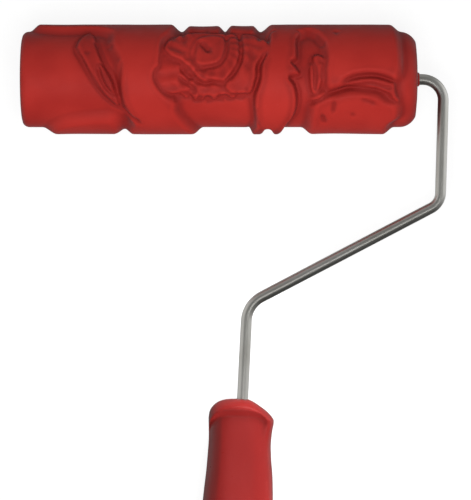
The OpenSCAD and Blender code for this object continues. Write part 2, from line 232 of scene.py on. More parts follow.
BACK_RIGHT = [(42, 139), (58, 143), (76, 137), (80.4, 160), (78, 180), (80, 204), (70, 222), (56, 226),
              (44, 216), (40, 194), (45, 172)]
TOP_PETAL_A = [(-14.8, 62), (-13.6, 54), (-6, 52), (-0.6, 56), (0.8, 66), (0.6, 110), (-2, 120), (-12, 120),
               (-14.8, 108)]
TOP_PETAL_B = [(4.2, 64), (6, 54), (13, 54), (16, 62), (16.8, 90), (15.6, 112), (12, 120), (6, 118),
               (4.4, 106)]

# The rose, relative to its centre. Each petal: outline, height of its rim, how far it falls away inside,
# and over what width.
ROSE_CENTRE = (-5, 33)
ROSE_PETALS = [
    ([(-20.6, -21), (-21, -8), (-19.5, 6), (-16, 20), (-9, 28), (1, 26), (11, 29), (20, 24), (26.6, 12),
      (25.6, -4), (22.4, -17), (22, -33), (19.6, -50), (17.4, -53.6), (15.6, -50), (12.6, -56), (10.2, -58),
      (7.4, -53.4), (5, -57.6), (1.6, -59.6), (-0.4, -55.6), (-3, -60.6), (-5.6, -61), (-7.4, -55.4),
      (-10, -57.4), (-12, -52), (-15.6, -53), (-19, -50), (-21.8, -42), (-23.2, -34), (-22.6, -27)],
     1.7, 0.5, 4.0),
    ([(-23.2, -36), (-23.4, -28), (-21.4, -23), (-20.4, -12), (-17, -8.4), (-13, -18), (-11.8, -30),
      (-8.2, -39), (-6.6, -48), (-10, -54.6), (-14, -52.6), (-19.4, -49.6), (-22, -42.6)],
     1.5, 0.7, 5.0),
    ([(6.8, -42), (1.4, -39.4), (-1.6, -41), (-5, -34.6), (-8.4, -39.4), (-6.2, -47), (-8.4, -52.6),
      (-4.6, -56.4), (-0.4, -53.4), (3, -55.6), (6.6, -52.4), (10.4, -52.6), (9.8, -48)],
     2.2, 1.0, 4.5),
    ([(14.4, 12), (14.6, -10), (13.2, -22.6), (10.8, -30.4), (8.6, -36.8), (7.4, -42.4), (10.4, -50.4),
      (14, -52), (17.4, -50.6), (20.2, -48), (21, -36), (21.4, -23), (24, -13), (27, -2), (26, 9),
      (21, 19), (15.6, 21)],
     2.9, 1.1, 7.0),
    ([(14.2, 11), (14.2, -10), (12.8, -22.6), (10.2, -30.6), (7.8, -37), (6.6, -41.6), (1.4, -38.6),
      (-1.6, -40), (-4.8, -33.4), (-7.8, -24), (-12, -16), (-17.4, -8.6), (-19.4, 2), (-15, 16), (-7, 23),
      (4, 22), (12.4, 20)],
     3.1, 1.3, 6.0),
    ([(13.6, 9), (13.8, -10), (12.4, -22.6), (9.8, -30.6), (6.8, -37), (2, -35.6), (-2.2, -31.8),
      (-4.8, -25.4), (-3.2, -21.8), (2.4, -20.8), (5.8, -15.4), (7.4, -5), (7.8, 9), (10.6, 14)],
     3.0, 1.2, 5.0),
    ([(7.8, 10), (7.2, -5), (5.8, -14.4), (2.6, -19.6), (-2.4, -21), (-5.4, -17.4), (-7.2, -9.4),
      (-6.8, 1), (-4.6, 12), (1, 16.6), (5.6, 15)],
     3.2, 1.3, 4.5),
]
# Folds and cuts of the rose, relative to its centre: curve, depth (a ridge is negative), half width.
# Most of these curves, and most of the cuts in paint_front, are not drawn freely: their places were picked
# by eye on the photograph, and a separate converter turned them into millimetres and degrees.
ROSE_LINES = [
    ([(-3.4, 9), (-0.9, 1), (1.2, -5)], 1.7, 1.1),
    ([(-4.4, 12), (-5.8, -2), (-6.4, -11), (-5.5, -17)], 1.1, 0.8),
    ([(8, 22), (8.4, 5), (8.1, -5), (6.9, -14), (4.2, -21), (-0.6, -23.5), (-4.4, -26)], 1.3, 0.8),
    ([(13.6, 22), (14.5, 5), (14.8, -8), (13.6, -20), (10.9, -32), (8.7, -37)], 1.5, 0.9),
    ([(-12.5, -22), (-9.5, -31), (-5.2, -38), (-0.9, -40.5), (2.1, -39), (7.5, -41)], 1.4, 0.8),
    ([(-13.4, -32), (-10.7, -39), (-7, -44), (-6.1, -50), (-8.9, -54), (-11.9, -51)], 1.3, 0.8),
    ([(-11.9, -51), (-13.8, -56), (-14, -64)], 1.1, 0.8),
    ([(-17, -36), (-14.4, -40), (-12.6, -46)], -0.6, 1.0),
    ([(-4.2, -53), (-3.8, -59), (-6.2, -64)], 1.3, 0.8),
    ([(1, -55), (0.8, -60), (-0.4, -66)], 1.2, 0.8),
    ([(5.2, -52), (5.2, -59), (6.8, -63)], 1.2, 0.8),
    ([(8, -54), (9.2, -59), (11.6, -57)], 1.1, 0.8),
    ([(12.6, -50), (14.5, -58), (16.4, -56)], 1.2, 0.8),
    ([(17, -45), (17.8, -51)], 1.0, 0.8),
    ([(21.6, -36), (21.3, -44), (19.6, -50)], 1.1, 0.9),
    ([(26.2, -4), (24.3, -13), (22.8, -22), (23.2, -28)], 0.9, 0.9),
    ([(0, 24), (-0.6, 34)], 0.7, 0.7),
    ([(-10, 6), (-11.4, 20), (-11.8, 34)], 0.9, 0.9),
    ([(22.6, 10), (24, 24), (23.6, 38)], 0.8, 0.9),
    ([(18.6, 2), (19.4, -12), (18, -26)], 0.5, 0.9),
    ([(-17, -4), (-13.6, -10), (-10.6, -18), (-7.4, -27), (-3.2, -33), (3.6, -34.6)], -0.5, 1.1),
    ([(-17, 8), (-14.6, 16), (-13.6, 26)], 0.6, 0.9),
]


class Relief:
    """Height of the sleeve's surface above its ground, on a grid of columns along it and rows round it."""

    def __init__(self, xs, angles):
        self.x = xs[:, None] + 0 * angles[None, :]
        self.a = 0 * xs[:, None] + angles[None, :]
        self.h = np.zeros_like(self.x)

    def local(self, centre):
        """Distance round the sleeve in millimetres from the angle centre, the short way."""
        turned = (self.a - centre + 180.0) % 360.0 - 180.0
        return np.radians(turned) * MEAN_R

    def outline(self, points, closed=True, steps=6):
        pts = catmull(points, steps, closed)
        centre = (pts[:, 1].min() + pts[:, 1].max()) / 2
        line = np.column_stack((pts[:, 0], np.radians(pts[:, 1] - centre) * MEAN_R))
        return line, self.local(centre)

    def distance(self, line, u, closed, reach):
        """Distance to the line near its box, whether a point is inside it, and how far along it lies."""
        near = ((self.x > line[:, 0].min() - reach) & (self.x < line[:, 0].max() + reach)
                & (u > line[:, 1].min() - reach) & (u < line[:, 1].max() + reach))
        px, pu = self.x[near], u[near]
        best = np.full(px.shape, 1e6)
        along = np.zeros(px.shape)
        inside = np.zeros(px.shape, bool)
        travelled = 0.0
        ends = np.roll(line, -1, axis=0) if closed else line[1:]
        starts = line if closed else line[:-1]
        for (x0, u0), (x1, u1) in zip(starts, ends):
            dx, du = x1 - x0, u1 - u0
            t = ((px - x0) * dx + (pu - u0) * du) / max(dx * dx + du * du, 1e-9)
            t = np.clip(t, 0, 1)
            away = np.hypot(px - x0 - t * dx, pu - u0 - t * du)
            length = math.hypot(dx, du)
            along = np.where(away < best, travelled + t * length, along)
            best = np.minimum(best, away)
            travelled += length
            if closed and u0 != u1:
                crosses = ((u0 > pu) != (u1 > pu)) & (px < x0 + (pu - u0) * dx / du)
                inside ^= crosses
        return near, best, inside, np.minimum(along, travelled - along)

    def field(self, points, rim, fall=0.0, width=4.0, edge=0.5, foot=0.0):
        """Paints a raised shape over what is there: its rim's height, and how it falls away inside."""
        line, u = self.outline(points)
        near, best, inside, _ = self.distance(line, u, True, 4.0)
        d = np.where(inside, best, -best)
        cover = np.clip((d + edge) / (2 * edge), 0, 1)
        cover = cover * cover * (3 - 2 * cover)
        top = rim - fall * (1 - np.exp(-np.maximum(d, 0) / width))
        h = self.h[near]
        h = h - foot * np.exp(-((d + edge) / 0.7) ** 2)
        self.h[near] = h + (top - h) * cover

    def cut(self, points, depth, half_width):
        """Cuts a groove along a curve, or raises a fold where the depth is negative; its ends fade."""
        line, u = self.outline(points, closed=False)
        near, best, _, from_end = self.distance(line, u, False, 4.0)
        taper = np.clip(0.25 + from_end / 2.2, 0, 1)
        self.h[near] -= depth * taper * np.exp(-(best / (half_width * (0.5 + 0.5 * taper))) ** 2)

    def ruffle(self, points, centre, depth, folds, inner):
        """Folds that run out from a centre, inside an outline and beyond the inner distance."""
        line, u = self.outline(points)
        near, best, inside, _ = self.distance(line, u, True, 0.0)
        across, up = self.x[near] - centre[0], self.local(centre[1])[near]
        turn, away = np.arctan2(up, across), np.hypot(across, up)
        wave = np.sin(folds * turn + 1.4 * np.sin(3 * turn) + 0.45 * away)
        fade = np.clip((away - inner) / 5, 0, 1)
        self.h[near] += depth * wave * inside * fade * np.clip(best / 1.5, 0, 1)

    def soften(self, passes):
        for _ in range(passes):
            h = self.h
            ends = np.concatenate((h[:1], h, h[-1:]))
            h = 0.25 * ends[:-2] + 0.5 * h + 0.25 * ends[2:]
            self.h = 0.25 * np.roll(h, 1, axis=1) + 0.5 * h + 0.25 * np.roll(h, -1, axis=1)


def paint_rose(relief, centre, mirror=1):
    cx, ca = centre

    def place(points):
        return [(cx + mirror * x, ca + a) for x, a in points]

    for points, rim, fall, width in ROSE_PETALS:
        relief.field(place(points), rim, fall, width, edge=0.7, foot=0.35)
    relief.ruffle(place(ROSE_PETALS[0][0]), centre, RUFFLE, 19, 8.0)
    for points, depth, half_width in ROSE_LINES:
        relief.cut(place(points), depth, half_width * STROKE)


def paint_front(relief):
    relief.field(LEAF_LEFT, 1.9, 0.3, 2.0, edge=0.9, foot=0.5)
    relief.field(LEAF_SLIVER, 2.7, 0.0, edge=0.5, foot=0.4)
    relief.field(FIELD_LEFT, RELIEF, 0.0, edge=2.4)
    relief.field(LOW_LEFT, RELIEF, 0.2, 6.0, edge=3.4)
    relief.field(FIELD_RIGHT, RELIEF, 0.0, edge=0.9, foot=0.3)
    relief.field(TOP_RIGHT, RELIEF, 0.0, edge=2.6)
    relief.field(LOW_RIGHT, RELIEF, 0.3, 6.0, edge=2.6)
    relief.field(TOP_PETAL_A, 2.8, 0.4, 3.0, edge=1.9, foot=0.2)
    relief.field(TOP_PETAL_B, 2.9, 0.4, 3.0, edge=1.7, foot=0.2)
    paint_rose(relief, ROSE_CENTRE)
    relief.field(LEAF_RIGHT, 2.5, -0.3, 2.0, edge=1.2)
    relief.field(BRANCH, 2.5, 0.3, 2.0, edge=1.0, foot=0.2)
    # lines of the left leaf and of the stem that runs out of it
    relief.cut([(-64.2, 36), (-62.7, 25), (-59.6, 10), (-55.4, -6), (-51.7, -21), (-46.8, -34), (-41.3, -45),
                (-35.2, -57)], 1.2, 0.9)
    relief.cut([(-56, 46), (-52.9, 22), (-49.9, 7), (-46.8, -6), (-45.6, -24)], 1.6, 0.9)
    relief.cut([(-54.1, 12), (-53.5, 1), (-51.1, -11), (-46.8, -21)], 1.0, 0.7)
    relief.cut([(-43.4, 18), (-44.7, -6), (-44.4, -27), (-41.9, -41), (-36, -52)], 0.6, 0.8)
    relief.cut([(-49.4, 40), (-48.4, 34)], 0.9, 1.2)
    relief.cut([(-45.4, 22), (-44.8, 17)], 0.7, 1.2)
    relief.cut([(-59.6, 32), (-59, 25)], 0.7, 1.4)
    # the right leaf, its stem and the small strokes below it
    relief.cut([(56.5, -8), (59, -3), (65.1, 0), (71.2, 0), (78.5, -6)], 1.3, 0.8)
    relief.cut([(56.5, -9), (62, -9), (68.1, -8), (74.2, -12), (77.4, -12)], 1.0, 0.8)
    relief.cut([(40, -33), (46.8, -23), (52.9, -16), (59, -12.4), (65.1, -12.4), (71.2, -15), (77.3, -22)],
               1.6, 0.9)
    relief.cut([(78.5, -6), (79.4, -15), (80.6, -26)], 0.7, 0.8)
    relief.cut([(63.2, -24), (67, -27), (70.6, -31)], 0.6, 1.0)
    relief.cut([(51.7, -26), (51.4, -34), (51, -42)], 0.9, 1.0)
    relief.cut([(46.2, -42), (47, -50), (48, -57)], 1.0, 1.1)
    relief.cut([(58.6, -41), (61.4, -47)], 0.7, 1.4)
    # the branch between the two fields
    relief.cut([(41, 22), (42.9, 6), (42.8, -6), (43, -18)], 1.5, 1.0)
    relief.cut([(44.3, 15), (46.8, 16), (46.4, 8), (45.6, -3)], 0.8, 0.8)
    relief.cut([(42.4, 58), (45, 46), (47.4, 36)], 1.2, 1.3)
    relief.cut([(52.4, 60), (53, 52)], 0.9, 1.3)
    relief.cut([(34.4, 42), (35.2, 28), (34, 19)], 1.0, 0.8)
    relief.cut([(36.4, 0), (32.1, 2), (32.1, -3), (34.6, -12), (35.5, -27), (34.6, -43), (31.2, -60)],
               0.8, 0.9)
    relief.cut([(16.8, -34), (16.3, -45), (18.1, -63)], 0.8, 0.9)
    relief.cut([(17, 50), (18.6, 42)], 0.7, 1.0)


# The leaf on a back field, as its edges, vein and stem, across from the field's middle
PRESSED_LEAF = [
    ([(-14, 196), (-6, 204), (4, 203), (14, 192)], 1.1, 0.9),
    ([(-14, 196), (-4, 193), (6, 190), (14, 192)], 1.1, 0.9),
    ([(-10, 197), (9, 194)], 0.7, 0.7),
    ([(14, 192), (17, 182), (16, 168)], 1.2, 0.9),
]


def paint_back(relief):
    relief.field(BACK_LEFT, RELIEF, 0.0, edge=0.8, foot=0.3)
    relief.field(BACK_MID, RELIEF, 0.0, edge=0.8, foot=0.5)
    relief.field(BACK_RIGHT, RELIEF, 0.0, edge=0.8, foot=0.3)
    paint_rose(relief, (-3, 180), mirror=-1)
    # leaves pressed into the two broad fields
    for x, side in ((-60, 1), (60, -1)):
        for curve, depth, half_width in PRESSED_LEAF:
            relief.cut([(x + across * side, angle) for across, angle in curve], depth, half_width)


def sleeve_profile():
    """Outline of the sleeve's ground from bore to bore, as (x, radius)."""
    left = [(-SLEEVE_HALF + FACE_IN, CORE_R), (-SLEEVE_HALF + FACE_IN, GROUND_R - 2.6)]
    corner = (FLAT_LEFT, GROUND_R - ROUND_LEFT)
    for k in range(1, 7):
        a = math.radians(-70 + 70 * k / 7)
        left.append((corner[0] + ROUND_LEFT * math.sin(a), corner[1] + ROUND_LEFT * math.cos(a)))
    right = []
    corner = (FLAT_RIGHT, GROUND_R - ROUND_RIGHT)
    for k in range(1, 11):
        a = math.radians(61 * k / 10)
        right.append((corner[0] + ROUND_RIGHT * math.sin(a), corner[1] + ROUND_RIGHT * math.cos(a)))
    middle = [(x, GROUND_R) for x in np.linspace(FLAT_LEFT, FLAT_RIGHT, COLUMNS)]
    return left + middle + right


def make_sleeve():
    profile = np.array(sleeve_profile())
    angles = np.arange(AROUND) * 360.0 / AROUND
    relief = Relief(profile[:, 0], angles)
    paint_front(relief)
    paint_back(relief)
    relief.soften(1)
    # a hand-carved master is never quite even
    slow = (0.05 * np.sin(relief.x * 0.21 + 1.3 * np.sin(np.radians(relief.a) * 2))
            + 0.05 * np.sin(relief.x * 0.13 - np.radians(relief.a) * 3))
    height = np.clip(relief.h + slow * np.clip(relief.h, 0.3, 1.0), -0.5, RELIEF - 0.01)
    on_end = (relief.x < FLAT_LEFT) | (relief.x > SLEEVE_HALF - ROUND_RIGHT)
    height = np.where(on_end, 0.0, height)
    relief.h = height.copy()
    relief.soften(8)
    # painted shade: where the surface lies below its softened self the rubber is darkened; where it stands above,
    # it is made paler
    hollow = np.clip((relief.h - height) / 0.5, -1, 1)
    # painted shade: dense carving is darkened more than the plain fields are
    relief.h = np.abs(hollow)
    relief.soften(24)
    hollow += DENSE_SHADE * np.clip(relief.h - 0.06, 0, 1)
    radius = profile[:, 1:2] + height
    a = np.radians(relief.a)
    local = np.stack((relief.x, radius * np.sin(a), radius * np.cos(a)), axis=-1).reshape(-1, 3)
    bore = [(x, CORE_R * math.sin(b), CORE_R * math.cos(b))
            for x in (profile[-1, 0], profile[0, 0]) for b in np.radians(angles)]
    points = np.vstack((local, bore)) * MM
    matrix = np.array(TOOL)
    world = points @ matrix[:3, :3].T + matrix[:3, 3]
    rows = len(profile) + 2
    faces = grid_faces(rows, AROUND, flip=True) + joining_faces(rows, AROUND, flip=True)
    sleeve = new_object("pattern_relief", world, faces)
    # carries the painted shade of the grooves, and the paler raised edges, to the material
    layer = sleeve.data.attributes.new("hollow", "FLOAT", "POINT")
    layer.data.foreach_set("value", np.concatenate((hollow.ravel(), np.zeros(2 * AROUND))))
    return sleeve


# ---- the rod ----

ROD_STEP = 6.0        # between the rings of a straight run
BEND_STEPS = 18
SHAFT_CHAMFER = 0.3
TAIL_CHAMFER = 0.6


def unit(v):
    return v / np.linalg.norm(v)


def add_straight(path, end, direction):
    """Adds evenly spaced points of a straight run to the path, short of the run's end."""
    before = np.array(path[-1][:2])
    run = np.linalg.norm(end - before)
    for k in range(1, int(run // ROD_STEP) + 1):
        path.append((*(before + direction * ROD_STEP * k), ROD_R))


def rod_path():
    """Centre line of the rod in the tool's plane, as (x, y, radius), with its bends as arcs."""
    lean = np.array((-math.sin(HANDLE_LEAN), -math.cos(HANDLE_LEAN)))
    neck = np.array((NECK_X, -NECK_DROP))
    start = np.array((-SHAFT_START, 0.0))
    end = neck + (NECK_LEN + ROD_IN_HANDLE) * lean
    shoulder, elbow = np.array((ARM_REACH, 0.0)), np.array((ARM_REACH - DROP_SLANT, -ELBOW_DROP))
    corners = [start, shoulder, elbow, neck, end]
    bends = [0, SHOULDER_BEND, ELBOW_BEND, NECK_BEND, 0]
    path = [(*start, ROD_R - SHAFT_CHAMFER), (*(start + (SHAFT_CHAMFER, 0)), ROD_R)]
    for i in (1, 2, 3):
        u, v = unit(corners[i] - corners[i - 1]), unit(corners[i + 1] - corners[i])
        turn = math.atan2(u[0] * v[1] - u[1] * v[0], float(u @ v))
        bend_start = corners[i] - u * bends[i] * math.tan(abs(turn) / 2)
        add_straight(path, bend_start, u)
        side = math.copysign(1, turn)
        centre = bend_start + side * bends[i] * np.array((-u[1], u[0]))
        from_angle = math.atan2(u[1], u[0]) - side * math.pi / 2
        for k in range(BEND_STEPS + 1):
            a = from_angle + turn * k / BEND_STEPS
            squeeze = 0.04 + 0.05 * math.sin(math.pi * k / BEND_STEPS)
            x, y = centre[0] + bends[i] * math.cos(a), centre[1] + bends[i] * math.sin(a)
            path.append((x, y, ROD_R - squeeze))
    add_straight(path, end, lean)
    return path + [(*(end - TAIL_CHAMFER * lean), ROD_R), (*end, ROD_R - TAIL_CHAMFER)]


def make_rod():
    """The rod as rings along its path; "drawn" keeps each point's place along and across the wire."""
    journal = [(-AXLE_END, JOURNAL_R - 0.5), (-AXLE_END + 0.5, JOURNAL_R),
               (-SHAFT_START - SHAFT_CHAMFER, JOURNAL_R), (-SHAFT_START, JOURNAL_R)]
    points = np.array([(x, 0.0, r) for x, r in journal] + rod_path())
    steps = np.linalg.norm(np.diff(points[:, :2], axis=0), axis=1)
    travelled = np.concatenate(([0], np.cumsum(steps)))
    segments = 32
    verts, drawn = [], []
    for i, (x, y, r) in enumerate(points):
        a, b = points[max(i - 1, 0)][:2], points[min(i + 1, len(points) - 1)][:2]
        along = b - a
        along = along / max(np.linalg.norm(along), 1e-9)
        across = np.array((-along[1], along[0]))
        for j in range(segments):
            t = 2 * math.pi * j / segments
            verts.append(tool_point(x + across[0] * r * math.cos(t), y + across[1] * r * math.cos(t),
                                    r * math.sin(t)))
            drawn.append((r * math.cos(t) * MM, r * math.sin(t) * MM, travelled[i] * MM))
    rows = len(points)
    rod = new_object("steel_rod", verts, grid_faces(rows, segments) + end_faces(rows, segments))
    layer = rod.data.attributes.new("drawn", "FLOAT_VECTOR", "POINT")
    layer.data.foreach_set("vector", np.array(drawn).ravel())
    return rod


# ---- the handle ----
# Half widths and half thickness along the handle, as (distance from its top, size)

RIGHT_EDGE = [(0, 2.6), (1.3, 5.6), (4.9, 11.1), (8.2, 14.3), (10.4, 14.7), (14, 14.2), (20, 13.9),
              (27, 14.4), (34, 15.3), (44, 16.0), (60, 16.5), (78, 15.8), (96, 14.2), (108, 13.7),
              (118, 14.3), (123, 14.3), (125, 12.8)]
LEFT_EDGE = [(0, 3.4), (0.5, 8.0), (2.2, 11.8), (5.2, 14.3), (8.6, 15.0), (13, 14.8), (19, 14.5),
             (27, 14.7), (34, 15.0), (44, 15.7), (60, 16.4), (78, 15.7), (96, 14.2), (108, 13.7),
             (118, 14.3), (123, 14.3), (125, 12.8)]
SIDE_EDGE = [(0, 3.0), (0.9, 7.2), (3.2, 10.8), (6.2, 12.8), (8.4, 13.1), (11, 12.3), (15, 11.6), (20, 11.3),
             (28, 11.8), (40, 13.0), (54, 14.2), (68, 14.4), (84, 13.6), (98, 12.7), (110, 12.7), (119, 13.5),
             (123, 13.5), (125, 12.2)]

PANEL_TOP = 2.6       # from the handle's top to the arch of its recessed panel
PANEL_HALF = 0.92     # half width of the panel, as a share of the handle's
# half thickness along the middle of the panel, as (distance from the handle's top, size)
PANEL_LINE = [(0, 9.2), (6, 9.3), (14, 9.9), (24, 10.9), (38, 12.2), (54, 13.7), (70, 14.4)]
PANEL_END = 70.0      # where the panel has run out
FACET_AT = -0.60      # where the panel turns down to the left edge
FACET_DEPTH = 3.4
HANDLE_RING = 128


def size_along(edge, stations):
    line = catmull(edge, 8)
    return np.interp(stations, line[:, 0], line[:, 1])


def handle_point(side, along, height=0.0):
    """A point of the handle, in millimetres: to the right, along from its top, and above its middle."""
    top_x = NECK_X - NECK_LEN * math.sin(HANDLE_LEAN)
    top_y = -NECK_DROP - NECK_LEN * math.cos(HANDLE_LEAN)
    c, s = math.cos(HANDLE_LEAN), math.sin(HANDLE_LEAN)
    return tool_point(top_x + side * c - along * s, top_y - side * s - along * c, height)


def handle_ring(radius, along, count):
    """A round ring of points about the handle's middle line."""
    angles = [2 * math.pi * j / count for j in range(count)]
    return [handle_point(radius * math.cos(a), along, radius * math.sin(a)) for a in angles]


def ease(t):
    """Smooth step from 0 to 1."""
    t = min(max(t, 0.0), 1.0)
    return t * t * (3 - 2 * t)


def panel_depth(side, along, thick, panel):
    """How deep the recessed panel of the handle is at a point, side being -1 to 1 across the handle."""
    arch = PANEL_TOP + 6.0 * (abs(side) / PANEL_HALF) ** 4
    inwards = ease((along - arch) / 5.0)
    across = ease((PANEL_HALF - side) / 0.3)
    facet = min(max((FACET_AT - side) / (1 + FACET_AT), 0.0), 1.0) ** 1.3
    fade = ease((PANEL_END - along) / 42.0)
    return (max(thick - panel, 0.0) * across + FACET_DEPTH * facet * fade) * inwards


def make_handle():
    stations = np.concatenate((np.array([0, 0.15, 0.4, 0.8, 1.3, 1.9, 2.6, 3.4, 4.3]),
                               np.arange(5.0, 24, 0.6), np.arange(24.2, 120, 1.6),
                               np.array([120.6, 121.8, 122.8, 123.6, 124.2, 124.7, 124.95])))
    right, left = size_along(RIGHT_EDGE, stations), size_along(LEFT_EDGE, stations)
    thick = size_along(SIDE_EDGE, stations)
    panel = np.where(stations > PANEL_END, thick, size_along(PANEL_LINE, stations))
    verts = []
    for s, wr, wl, t, flat in zip(stations, right, left, thick, panel):
        # flatter faces with rounded corners below the shoulder, round at the very top
        power = 2.0 + 1.1 * min(s / 9.0, 1.0)
        for j in range(HANDLE_RING):
            a = 2 * math.pi * j / HANDLE_RING
            ca, sa = math.cos(a), math.sin(a)
            k = (abs(ca) ** power + abs(sa) ** power) ** (-1 / power)
            width = wr if ca > 0 else wl
            height = t * k * sa
            height -= math.copysign(panel_depth(k * ca, s, t, flat), sa) * min(abs(sa) * 2, 1.0)
            verts.append(handle_point(width * k * ca, s, height))
    # the seat of the socket, then the hollow, then back to the hole round the rod
    inner = [(SOCKET_LIP_R + 0.25, HANDLE_LEN - 0.05), (SOCKET_LIP_R, HANDLE_LEN - 0.2),
             (SOCKET_LIP_R, HANDLE_LEN - SOCKET_LIP_T), (SOCKET_OUT_R, HANDLE_LEN - SOCKET_LIP_T),
             (SOCKET_OUT_R, HANDLE_LEN - SEAT_DEPTH), (ROD_R, HANDLE_LEN - SEAT_DEPTH - 0.4),
             (ROD_R, 1.2), (ROD_R + 0.35, 0.5)]
    for r, s in inner:
        verts += handle_ring(r, s, HANDLE_RING)
    rows = len(stations) + len(inner)
    return new_object("handle_grip", verts, grid_faces(rows, HANDLE_RING) + joining_faces(rows, HANDLE_RING))


# ---- the pole socket ----

SOCKET_RING = 64
GROOVE_WIDTH = 2.2
GROOVE_SHARE = 0.85   # depth of the thread's groove, as a share of its width
GROOVE_EDGE = 0.55    # where in a turn the groove's flank starts, in groove widths
LEAD_IN = 1.6         # depth of the cone at the socket's mouth
RING_STEP = 0.35      # between the rings of the thread
TINY_R = 0.01         # stands for the axis, so that a ring stays a ring


def make_socket():
    """Threaded insert: the thread's grooves are cut outwards from its inner radius."""
    outside = [(TINY_R, HANDLE_LEN - SOCKET_LEN), (SOCKET_OUT_R - 0.4, HANDLE_LEN - SOCKET_LEN),
               (SOCKET_OUT_R, HANDLE_LEN - SOCKET_LEN + 0.4), (SOCKET_OUT_R, HANDLE_LEN - SOCKET_LIP_T),
               (SOCKET_LIP_R - 0.02, HANDLE_LEN - SOCKET_LIP_T), (SOCKET_LIP_R - 0.02, HANDLE_LEN - 0.3),
               (SOCKET_LIP_R - 0.4, HANDLE_LEN), (SOCKET_R + 1.8, HANDLE_LEN)]
    bottom = [(SOCKET_R, HANDLE_LEN - SOCKET_DEPTH), (TINY_R, HANDLE_LEN - SOCKET_DEPTH)]
    verts = []
    for r, s in outside:
        verts += handle_ring(r, s, SOCKET_RING)
    for depth in np.arange(0, SOCKET_DEPTH - 1.0, RING_STEP):
        lead = max(0.0, LEAD_IN - depth)
        for j in range(SOCKET_RING):
            a = 2 * math.pi * j / SOCKET_RING
            phase = (depth / THREAD_PITCH - j / SOCKET_RING) % 1.0
            from_crest = (0.5 - abs(phase - 0.5)) * 2 * THREAD_PITCH / GROOVE_WIDTH
            slope = min(max(from_crest - GROOVE_EDGE, 0.0), 1.0)
            r = min(SOCKET_R + GROOVE_WIDTH * GROOVE_SHARE * slope + lead, SOCKET_OUT_R - 0.6)
            verts.append(handle_point(r * math.cos(a), HANDLE_LEN - depth, r * math.sin(a)))
    for r, s in bottom:
        verts += handle_ring(r, s, SOCKET_RING)
    rows = len(verts) // SOCKET_RING
    return new_object("pole_thread", verts, grid_faces(rows, SOCKET_RING) + end_faces(rows, SOCKET_RING))


# ---- the caps ----

def rounded(profile, radius=0.35, steps=3):
    """The closed profile with small arcs at its corners."""
    pts = [np.array(p, float) for p in profile]
    out = []
    for i, c in enumerate(pts):
        a, b = pts[i - 1], pts[(i + 1) % len(pts)]
        u, v = a - c, b - c
        lu, lv = np.linalg.norm(u), np.linalg.norm(v)
        r = min(radius, lu / 2.5, lv / 2.5)
        start, end = c + u / lu * r, c + v / lv * r
        for k in range(steps + 1):
            t = k / steps
            out.append(tuple((1 - t) ** 2 * start + 2 * t * (1 - t) * c + t * t * end))
    return out


def make_cap_left():
    h = SLEEVE_HALF
    pocket_end, bush_end = -h + 8, -h + 17.6
    flange, spigot_end = -h + FLANGE_T, -h + SPIGOT_LEN
    profile = [(flange, CORE_R), (-h + 0.45, CORE_R), (-h + 0.15, 13.0), (-h, 9.2), (-h, POCKET_R),
               (pocket_end, POCKET_R), (pocket_end, BUSH_R), (bush_end, BUSH_R), (bush_end, BOSS_R),
               (flange, BOSS_R), (flange, SPIGOT_IN_R), (spigot_end, SPIGOT_IN_R),
               (spigot_end, CORE_IN_R), (flange, CORE_IN_R)]
    return lathe("left_cap", rounded(profile))


def make_cap_right():
    h = SLEEVE_HALF
    bore = ROD_R + 0.4
    bush_start, bush_end = h - 13.8, h - 3.5
    flange, spigot_end = h - FLANGE_T, h - SPIGOT_LEN
    profile = [(flange, CORE_IN_R), (spigot_end, CORE_IN_R), (spigot_end, SPIGOT_IN_R),
               (flange, SPIGOT_IN_R), (flange, BOSS_R), (bush_start, BOSS_R), (bush_start, BUSH_R),
               (bush_end, BUSH_R), (bush_end, bore), (h + 0.95, bore), (h + 0.98, bore + 0.15),
               (h + 0.3, 3.2), (h - 0.04, 4.4), (h - 0.25, 9.0), (h - 0.55, 13.5), (h - 0.98, CORE_R),
               (flange, CORE_R)]
    return lathe("right_cap", rounded(profile, 0.2))


def make_plug():
    """Cover of the nut's pocket, with a shallow dish in its face and a skirt that snaps in."""
    face = -SLEEVE_HALF + 0.02
    dish, back, skirt_end = -SLEEVE_HALF + 0.35, -SLEEVE_HALF + 1.4, -SLEEVE_HALF + 3.4
    r = POCKET_R - 0.05
    skirt_in = r - 1.2
    profile = [(skirt_end, r), (-SLEEVE_HALF + 0.4, r), (face, r - 0.4), (face, 3.2), (dish, 2.6),
               (dish, TINY_R), (back, TINY_R), (back, skirt_in), (skirt_end, skirt_in)]
    return lathe("hub_cover", rounded(profile, 0.15), 72)


# ---- materials ----

SPAN_SOCKETS = ("From Min", "From Max", "To Min", "To Max")


